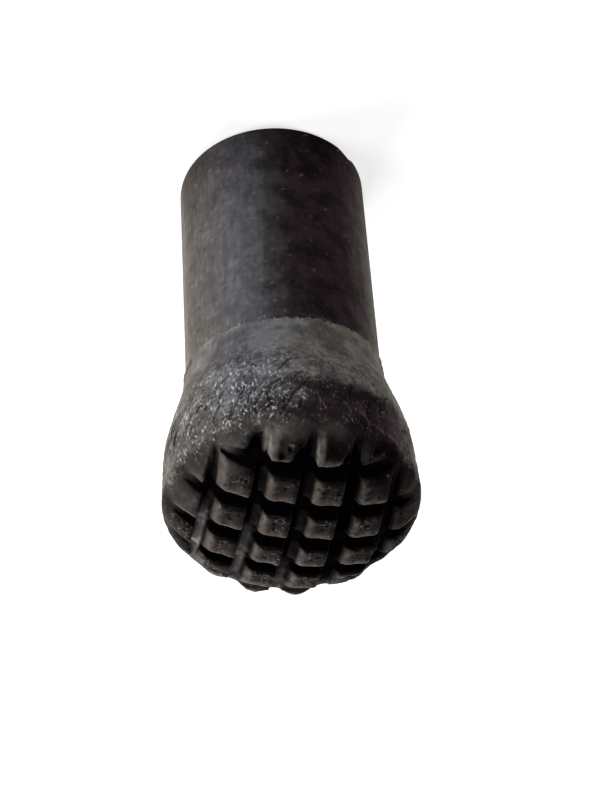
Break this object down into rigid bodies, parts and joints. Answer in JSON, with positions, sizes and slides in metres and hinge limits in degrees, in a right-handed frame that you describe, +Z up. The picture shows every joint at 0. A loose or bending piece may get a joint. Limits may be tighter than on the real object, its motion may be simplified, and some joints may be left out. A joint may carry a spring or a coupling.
{
  "type": "trekking pole tip",
  "caption": "Moulded rubber tip with a blind socket that pushes over a trekking pole's end, and a flared foot with a domed waffle tread.",
  "frame": {"origin": "middle of the sleeve's mouth, in the plane of the flat ring that the tip stands on", "axes": "+Z up along the pole's axis, from the mouth to the tread; +X and +Y along the two directions of the tread's grooves"},
  "size_m": [0.0256, 0.0256, 0.0496],
  "materials": {
    "rubber": "worn matte black moulded rubber"
  },
  "bodies": {
    "root": {"rubber_tip": "rubber"}
  },
  "joints": []
}
